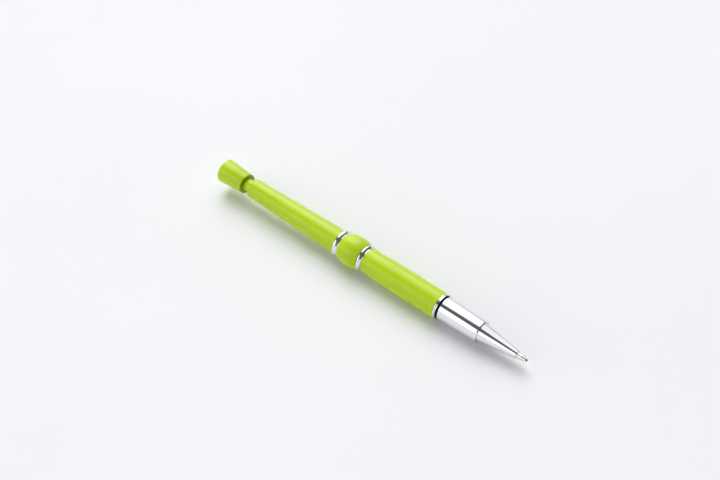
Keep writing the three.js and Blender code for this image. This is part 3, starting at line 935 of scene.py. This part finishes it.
def spring():
    """A coil with dead turns at both ends. The real spring shortens when the refill is pressed; this
    coil is built at one length.
    """
    rear, front, radius = span("refill_spring")
    low = rear + SPRING_WIRE
    high = front - SPRING_WIRE
    reach = radius - SPRING_WIRE
    dead_rise = SPRING_DEAD_TURNS * SPRING_DEAD_PITCH
    live_turns = SPRING_TURNS - 2 * SPRING_DEAD_TURNS
    live_rise = high - low - 2 * dead_rise
    path = []
    steps = SPRING_TURNS * WIRE_STEPS_PER_TURN
    for step in range(steps + 1):
        turn = SPRING_TURNS * step / steps
        if turn < SPRING_DEAD_TURNS:
            x = low + dead_rise * turn / SPRING_DEAD_TURNS
        elif turn > SPRING_TURNS - SPRING_DEAD_TURNS:
            x = high - dead_rise * (SPRING_TURNS - turn) / SPRING_DEAD_TURNS
        else:
            x = low + dead_rise + live_rise * (turn - SPRING_DEAD_TURNS) / live_turns
        angle = 2 * math.pi * turn
        path.append(Vector((x, reach * math.cos(angle), AXIS_Z + reach * math.sin(angle))))
    piece = swept_wire("refill_spring_wire", path, SPRING_WIRE, WIRE_SIDES)
    stand_for(piece, "refill_spring")
    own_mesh(piece)


def spring_seat():
    """The vented plug in the upper barrel, with a pocket for the spring."""
    rear, front, radius = span("spring_seat")
    pocket_rear = front - SEAT_POCKET_DEPTH
    outline = [
        (rear, VENT_RADIUS, EDGE),
        (rear, radius - SEAT_TAPER, SEAT_REAR_EDGE),
        (front, radius, EDGE),
        (front, SEAT_POCKET_RADIUS, EDGE),
        (pocket_rear, SEAT_POCKET_RADIUS),
        (pocket_rear, VENT_RADIUS, EDGE),
    ]
    stand_for(lathe("spring_seat_moulding", outline, sides=SMALL_SIDES), "spring_seat")


# ---- Table, lights and camera -----------------------------------------------------------
def table():
    """A pale plane that touches the bulb and the tip ring, as the pen lies on both."""
    bulb_rear, bulb_front, bulb_radius = span("bulb")
    ring_rear, ring_front, ring_radius = span("tip_ring")
    bulb_x = (bulb_rear + bulb_front) / 2
    run = (ring_rear + ring_front) / 2 - bulb_x
    slope = math.atan2(bulb_radius - ring_radius, run)
    builder = bmesh.new()
    bmesh.ops.create_grid(
        builder, x_segments=TABLE_SEGMENTS, y_segments=TABLE_SEGMENTS, size=TABLE_HALF
    )
    tilt = Matrix.Rotation(-slope, 4, "Y")
    lift = Matrix.Translation((bulb_x, 0, AXIS_Z - bulb_radius - TABLE_CLEARANCE))
    bmesh.ops.transform(builder, matrix=lift @ tilt, verts=builder.verts)
    top = new_object("table_plane", builder)
    top.data.materials.append(table_top())


def softbox(name, zenith, along, width, height, radiance, spread=180):
    """An evenly bright rectangle that faces the pen from LIGHT_DISTANCE.

    zenith is its angle from straight up, in degrees, positive behind the pen. along is how far
    it stands towards the pen's tip; this and its sides are shares of its distance.
    """
    tilt = math.radians(zenith)
    across = math.sqrt(1 - along ** 2)
    back = Vector((along, across * math.sin(tilt), across * math.cos(tilt)))
    side = (Vector((1, 0, 0)) - back * back.x).normalized()
    light = bpy.data.lights.new(name, "AREA")
    light.shape = "RECTANGLE"
    light.size = width * LIGHT_DISTANCE
    light.size_y = height * LIGHT_DISTANCE
    light.energy = radiance * math.pi * light.size * light.size_y
    light.spread = math.radians(spread)
    holder = bpy.data.objects.new(name, light)
    bpy.context.scene.collection.objects.link(holder)
    turn = Matrix((side, back.cross(side), back)).transposed().to_4x4()
    holder.matrix_world = Matrix.Translation(back * LIGHT_DISTANCE) @ turn


def room():
    """A dim ceiling above a horizon that is light only beside the pen, not beyond its ends."""
    world = bpy.data.worlds.new("room")
    world.use_nodes = True
    tree = world.node_tree

    def maths(operation, first, second=None, amount=0.0):
        node = tree.nodes.new("ShaderNodeMath")
        node.operation = operation
        node.inputs[1].default_value = amount
        tree.links.new(first, node.inputs[0])
        if second:
            tree.links.new(second, node.inputs[1])
        return node.outputs["Value"]

    def fade(source, nothing, full):
        node = tree.nodes.new("ShaderNodeMapRange")
        node.inputs["From Min"].default_value = nothing
        node.inputs["From Max"].default_value = full
        tree.links.new(source, node.inputs["Value"])
        return node.outputs["Result"]

    where = tree.nodes.new("ShaderNodeTexCoord").outputs["Generated"]
    split = tree.nodes.new("ShaderNodeSeparateXYZ")
    tree.links.new(where, split.inputs["Vector"])
    low_down = fade(split.outputs["Z"], 0.45, 0.2)
    off_centre = maths("ABSOLUTE", maths("ADD", split.outputs["X"], amount=0.2))
    beside = fade(off_centre, 0.7, 0.5)
    ramp = tree.nodes.new("ShaderNodeValToRGB")
    ramp.color_ramp.elements[0].color = ROOM_DIM
    ramp.color_ramp.elements[1].color = ROOM_LIGHT
    tree.links.new(maths("MULTIPLY", low_down, beside), ramp.inputs["Fac"])
    tree.links.new(ramp.outputs["Color"], tree.nodes["Background"].inputs["Color"])
    bpy.context.scene.world = world


def studio():
    """A key light in a large overhead diffuser, a low softbox on the camera's side, and the room."""
    softbox("overhead", zenith=27, along=-0.25, width=1.7, height=1.46, radiance=0.93)
    softbox("key", zenith=30, along=-0.6, width=1.1, height=1.1, radiance=0.57, spread=66)
    softbox("front", zenith=-59, along=-0.45, width=1.6, height=0.62, radiance=1.33)
    room()
    bpy.context.scene.view_settings.view_transform = "Standard"


def camera():
    """The camera, aimed at the pen from CAMERA_AZIMUTH and CAMERA_ELEVATION in degrees."""
    azimuth = math.radians(CAMERA_AZIMUTH)
    elevation = math.radians(CAMERA_ELEVATION)
    back = Vector((
        math.sin(azimuth) * math.cos(elevation),
        -math.cos(azimuth) * math.cos(elevation),
        math.sin(elevation),
    ))
    right = Vector((0, 0, 1)).cross(back).normalized()
    up = back.cross(right)
    lens = bpy.data.cameras.new("camera")
    lens.lens = CAMERA_LENS
    lens.sensor_width = CAMERA_SENSOR
    lens.clip_start = CAMERA_NEAR
    eye = bpy.data.objects.new("camera", lens)
    bpy.context.scene.collection.objects.link(eye)
    turn = Matrix((right, up, back)).transposed().to_4x4()
    eye.matrix_world = Matrix.Translation(CAMERA_AIM + back * CAMERA_DISTANCE) @ turn
    bpy.context.scene.camera = eye


camera()
studio()
table()
knob()
collar()
neck()
upper_barrel()
spring_seat()
spring()
waist_ring("rear_ring", span("upper_barrel")[2])
bulb()
waist_ring("front_ring", LOWER_REAR_RADIUS)
coupling()
for bush_node in ("upper_bush", "middle_bush", "section_bush"):
    bush(bush_node)
lower_barrel()
tip_ring()
o_ring()
grip_section()
nose_cone()
refill_body()
refill_front()
writing_tip()
writing_ball()
